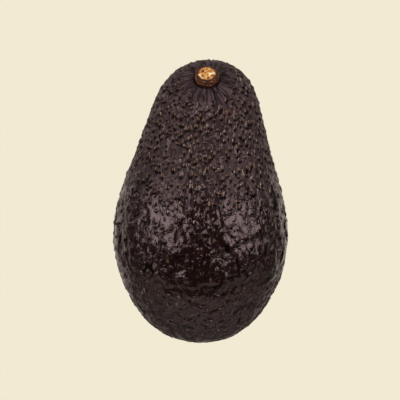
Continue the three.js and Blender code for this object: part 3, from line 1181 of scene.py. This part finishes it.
rind_surface = add_node(rind_tree, "ShaderNodeMixShader", {0: painted_shade_share, 1: rind_wax, 2: painted_shade_matt})
add_node(rind_tree, "ShaderNodeOutputMaterial", {"Surface": rind_surface})
rind.data.materials.append(waxy_rind)
print("waxy rind:", len(rind_tree.nodes), "nodes")

# %% [markdown]
# ## The button's finish
#
# The cut face is torn fibre: pale gold, with cream flecks where it is freshest and brown in its pits. It
# darkens to a brown ring at the rim. The bark is dark and wrinkled, with rusty patches, and its foot is
# painted nearly black as shade where it stands in the socket. Dry wood has an index of about 1.5 and hardly
# shines.

# %% Grain and wrinkles of the button
BUTTON_NOISES = {
    # each noise's size in mm, its detail and its distortion
    "grain": (0.9, 3.0, 0.6),
    "flecks": (1.3, 2.0, 0.3),
    "blotches": (1.4, 3.0, 0.0),
    "rust": (0.8, 2.0, 0.0),
}
WRINKLE_WAVES = 19.0  # in radians, over the button's height
WRINKLE_BEND = 0.2  # how much of the grain bends the wrinkles
RIM_BEND = 1.6  # and how much of it, in mm, makes the brown ring at the rim ragged

wood_and_bark = bpy.data.materials.new("cut_wood_and_bark")
wood_tree = empty_tree(wood_and_bark)
wood_place = add_node(wood_tree, "ShaderNodeAttribute", {}, attribute_name="own_place").outputs["Vector"]
bark_here, pit_here, height_here = [
    add_node(wood_tree, "ShaderNodeAttribute", {}, attribute_name=name).outputs["Fac"]
    for name in ("bark", "pit", "up")
]
grain, flecks, blotches, rust = [
    add_node(
        wood_tree,
        "ShaderNodeTexNoise",
        {"Vector": wood_place, "Scale": 1 / size, "Detail": detail, "Distortion": distortion},
    )
    for size, detail, distortion in BUTTON_NOISES.values()
]
flat_place = add_node(
    wood_tree, "ShaderNodeVectorMath", {0: wood_place, 1: (1, 1, 0)}, operation="MULTIPLY"
)
from_pith = add_node(wood_tree, "ShaderNodeVectorMath", {0: flat_place}, operation="LENGTH")
ragged_rim = add_node(
    wood_tree, "ShaderNodeMath", {0: grain, 1: RIM_BEND, 2: from_pith}, operation="MULTIPLY_ADD"
)
wrinkle_place = add_node(
    wood_tree, "ShaderNodeMath", {0: grain, 1: WRINKLE_BEND, 2: height_here}, operation="MULTIPLY_ADD"
)
wrinkle_phase = add_node(
    wood_tree, "ShaderNodeMath", {0: wrinkle_place, 1: WRINKLE_WAVES}, operation="MULTIPLY"
)
bark_wrinkles = add_node(wood_tree, "ShaderNodeMath", {0: wrinkle_phase}, operation="SINE")
print("noises of the button, mm:", {name: row[0] for name, row in BUTTON_NOISES.items()})

# %% [markdown]
# Both are coats over a ground. On the cut face lie the gold grain, cream flecks, the pits and the ragged
# rim. On the bark lie lighter blotches, rust, dark wrinkles and the foot's painted shade.

# %% Colours of the cut face and the bark
FACE_GOLD = "#a2682c"
BARK_BROWN = "#1c0b07"

face_coats = (
    (grain, 0.38, 0.6, 1.0, "#d8a85f"),
    (flecks, 0.53, 0.62, 1.0, "#ffebbe"),
    (pit_here, 0.2, 0.8, 0.95, "#4f240f"),
    (ragged_rim, 3.2, 3.9, 1.0, "#6e3f22"),
)
bark_coats = (
    (blotches, 0.4, 0.62, 1.0, "#3c2016"),
    (rust, 0.55, 0.66, 0.9, "#8f5026"),
    (bark_wrinkles, 0.1, 0.8, 0.8, "#120706"),
    # painted shade: the bark darkens towards its foot in the socket
    (height_here, 0.4, 0.15, 1.0, "#1c0a06"),
)
face_colour = coats(wood_tree, linear(FACE_GOLD), face_coats)
bark_colour = coats(wood_tree, linear(BARK_BROWN), bark_coats)
print("coats on the cut face:", len(face_coats), "and on the bark:", len(bark_coats))

# %% [markdown]
# The two colours meet at the rim, where the mesh says how much of it is bark. The grain stands up a
# little, as torn fibre does, and the bark's wrinkles are pressed in. Dry wood scatters nearly all of
# the light, and the little that it mirrors is tinted by resin, so the bark looks brown and not grey.

# %% Cut wood and bark
WOOD_IOR = 1.5
WOOD_ROUGHNESS = 0.6
RESIN_TINT = "#ffcaa6"
WOOD_FORMS = ((grain, 0.4), (bark_wrinkles, -0.07), (rust, 0.25))  # with their heights in mm

wood_colour = add_node(
    wood_tree,
    "ShaderNodeMix",
    {FACTOR: bark_here, FIRST: face_colour, SECOND: bark_colour},
    data_type="RGBA",
)
wood_rise = 0.0
for form, tall in WOOD_FORMS:
    wood_rise = add_node(
        wood_tree, "ShaderNodeMath", {0: form, 1: tall, 2: wood_rise}, operation="MULTIPLY_ADD"
    )
wood_bump = add_node(wood_tree, "ShaderNodeBump", {"Height": wood_rise, "Strength": 1.0, "Distance": MM})
wood_shader = add_node(
    wood_tree,
    "ShaderNodeBsdfPrincipled",
    {
        "Base Color": wood_colour,
        "Roughness": WOOD_ROUGHNESS,
        "IOR": WOOD_IOR,
        "Specular Tint": linear(RESIN_TINT),
        "Normal": wood_bump,
    },
)
add_node(wood_tree, "ShaderNodeOutputMaterial", {"Surface": wood_shader})
button.data.materials.append(wood_and_bark)
print("cut wood and bark:", len(wood_tree.nodes), "nodes")

# %% [markdown]
# ## The studio
#
# The fruit lies on a sheet of cream card that is lit from below, as a light table is. It is a plain
# disc, so wide that no light comes from below it, and it belongs to the stage and not to the part.

# %% Light table
TABLE_RADIUS = 4000

card = bmesh.new()
bmesh.ops.create_circle(card, cap_ends=True, radius=TABLE_RADIUS * MM, segments=96)
table_mesh = bpy.data.meshes.new("light_table")
card.to_mesh(table_mesh)
card.free()
table = bpy.data.objects.new("light_table", table_mesh)
bpy.context.scene.collection.objects.link(table)
table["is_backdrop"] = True
print("card:", 2 * TABLE_RADIUS / 1000, "m across")

# %% [markdown]
# The camera sees the card as one flat cream. The fruit sees it glow close by and fade further off,
# which gives the outline its pale rim light. A light path node tells the two apart.

# %% Lit cream card
CREAM = linear("#f2ead3")
GLOW_COLOUR = linear("#fbece1")
GLOW_AHEAD = 10  # the glow's middle is this far from the flat spot, towards the stem
GLOW_FROM, GLOW_TO = 45, 140
GLOW_NEAR, GLOW_FAR = 1.0, 0.14

lit_card = bpy.data.materials.new("lit_cream_card")
card_tree = empty_tree(lit_card)
card_seen = add_node(card_tree, "ShaderNodeLightPath", {}).outputs["Is Camera Ray"]
card_place = add_node(card_tree, "ShaderNodeTexCoord", {}).outputs["Object"]
under_fruit = add_node(
    card_tree, "ShaderNodeVectorMath", {0: card_place, 1: (0, GLOW_AHEAD * MM, 0)}, operation="SUBTRACT"
)
from_fruit = add_node(card_tree, "ShaderNodeVectorMath", {0: under_fruit}, operation="LENGTH")
glow = add_node(
    card_tree,
    "ShaderNodeMapRange",
    {
        "Value": from_fruit,
        "From Min": GLOW_FROM * MM,
        "From Max": GLOW_TO * MM,
        "To Min": GLOW_NEAR,
        "To Max": GLOW_FAR,
    },
    interpolation_type="SMOOTHSTEP",
)
light_up = add_node(card_tree, "ShaderNodeEmission", {"Color": GLOW_COLOUR, "Strength": glow})
plain_cream = add_node(card_tree, "ShaderNodeEmission", {"Color": CREAM, "Strength": 1.0})
card_shader = add_node(card_tree, "ShaderNodeMixShader", {0: card_seen, 1: light_up, 2: plain_cream})
add_node(card_tree, "ShaderNodeOutputMaterial", {"Surface": card_shader})
table.data.materials.append(lit_card)
print("table glows", GLOW_NEAR, "near the fruit and", GLOW_FAR, "beyond", GLOW_TO, "mm")

# %% [markdown]
# The room is dark for the fruit, so that its blacks stay black. What light there is comes back from
# warm reddish walls, and keeps the darkest rind brown. The camera sees the same cream as the card.

# %% Room
ROOM_LIGHT = 0.04
ROOM_COLOUR = "#ffa898"

room = bpy.data.worlds.new("dim_room")
bpy.context.scene.world = room
room_tree = empty_tree(room)
room_seen = add_node(room_tree, "ShaderNodeLightPath", {}).outputs["Is Camera Ray"]
dim = add_node(room_tree, "ShaderNodeBackground", {"Color": linear(ROOM_COLOUR), "Strength": ROOM_LIGHT})
cream_backdrop = add_node(room_tree, "ShaderNodeBackground", {"Color": CREAM, "Strength": 1.0})
room_shader = add_node(room_tree, "ShaderNodeMixShader", {0: room_seen, 1: dim, 2: cream_backdrop})
add_node(room_tree, "ShaderNodeOutputWorld", {"Surface": room_shader})
bpy.context.scene.view_settings.view_transform = "Standard"
print("room light:", ROOM_LIGHT)

# %% [markdown]
# The camera hangs over the fruit, tilted a little so that it looks at the stem end too. It is far
# off with a narrow field, as for a catalogue, so the fruit isn't distorted.

# %% Camera
VIEW_TILT = math.radians(18)
CAMERA_DISTANCE = 620
FIELD = 141.3  # how wide a strip the camera takes in at the fruit's middle
AIM_RIGHT = -0.2  # how far beside the fruit's middle it looks
AIM_UP = 1.53
SENSOR = 36  # the width of a full frame

middle = -Vector(SEAT)
view_turn = Matrix.Rotation(-VIEW_TILT, 3, "X")
camera_data = bpy.data.cameras.new("overhead_camera")
camera_data.sensor_width = SENSOR
camera_data.lens = SENSOR * CAMERA_DISTANCE / FIELD
camera = bpy.data.objects.new("overhead_camera", camera_data)
camera.location = (middle + view_turn @ Vector((AIM_RIGHT, AIM_UP, CAMERA_DISTANCE))) * MM
camera.rotation_euler = (-VIEW_TILT, 0, 0)
bpy.context.scene.collection.objects.link(camera)
bpy.context.scene.camera = camera
print("lens, mm:", round(camera_data.lens, 1))

# %% [markdown]
# ## Lights
#
# A glossy dark thing is lit by what it reflects. Two windows of light, left and right of the camera,
# put the two bright fields on the belly and leave a dark gap between them. Each is a soft edge with
# a brighter heart. A narrow strip over the stem end draws the neck's pebbles, and a low card at the
# blossom end lifts the ripples there. The angles are those from the fruit's middle, and a light's
# power follows from its size and the brightness wanted.

# %% Softboxes
LIGHT_DISTANCE = 900
WINDOW_WHITE = "#faf0f2"
SOFTBOXES = (
    # name, degrees right and up of the camera, degrees wide and tall, brightness, colour, mm nearer
    ("left_window", -51.5, 7, 51, 48, 2.25, WINDOW_WHITE, 0),
    ("left_window_heart", -48, 6, 33, 38, 3.6, WINDOW_WHITE, 5),
    ("right_window", 51.5, 7, 51, 48, 2.25, WINDOW_WHITE, 0),
    ("right_window_heart", 48, 6, 33, 38, 3.6, WINDOW_WHITE, 5),
    ("stem_strip", 0, 52, 90, 16, 1.2, "#fff4f2", 0),
    ("blossom_card", 0, -98, 120, 60, 0.8, "#f6ece0", 0),
)


def softbox(name, right, up, wide, tall, brightness, colour, nearer):
    """An area light that faces the fruit."""
    distance = LIGHT_DISTANCE - nearer
    data = bpy.data.lights.new(name, "AREA")
    data.shape = "RECTANGLE"
    data.size = 2 * distance * math.tan(math.radians(wide / 2)) * MM
    data.size_y = 2 * distance * math.tan(math.radians(tall / 2)) * MM
    data.energy = brightness * math.pi * data.size * data.size_y
    data.color = linear(colour)[:3]
    box = bpy.data.objects.new(name, data)
    aside, above = math.radians(right), math.radians(up)
    aim = view_turn @ Vector(
        (math.sin(aside) * math.cos(above), math.sin(above), math.cos(aside) * math.cos(above))
    )
    box.location = (middle + aim * distance) * MM
    level = (view_turn @ Vector((0, 1, 0))).cross(aim).normalized()
    box.rotation_euler = Matrix((level, aim.cross(level), aim)).transposed().to_euler()
    box.visible_camera = False
    bpy.context.scene.collection.objects.link(box)


for row in SOFTBOXES:
    softbox(*row)
print("lights:", [light.name for light in bpy.data.lights])

# %% [markdown]
# ## Hand over
#
# Each piece takes the place of the plain solid that it was made for and rides on the same body. Both boxes
# are printed.

# %% Finish
for piece, node, finish in ((rind, "fruit", "rind"), (button, "stem_button", "stem_wood")):
    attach(piece, "root")
    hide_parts(node)

visual_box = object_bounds()
for name, box in (("solids", cad_box), ("dressed", visual_box)):
    print(name, "box, mm:", [[round(1000 * x, 2) for x in corner] for corner in box])
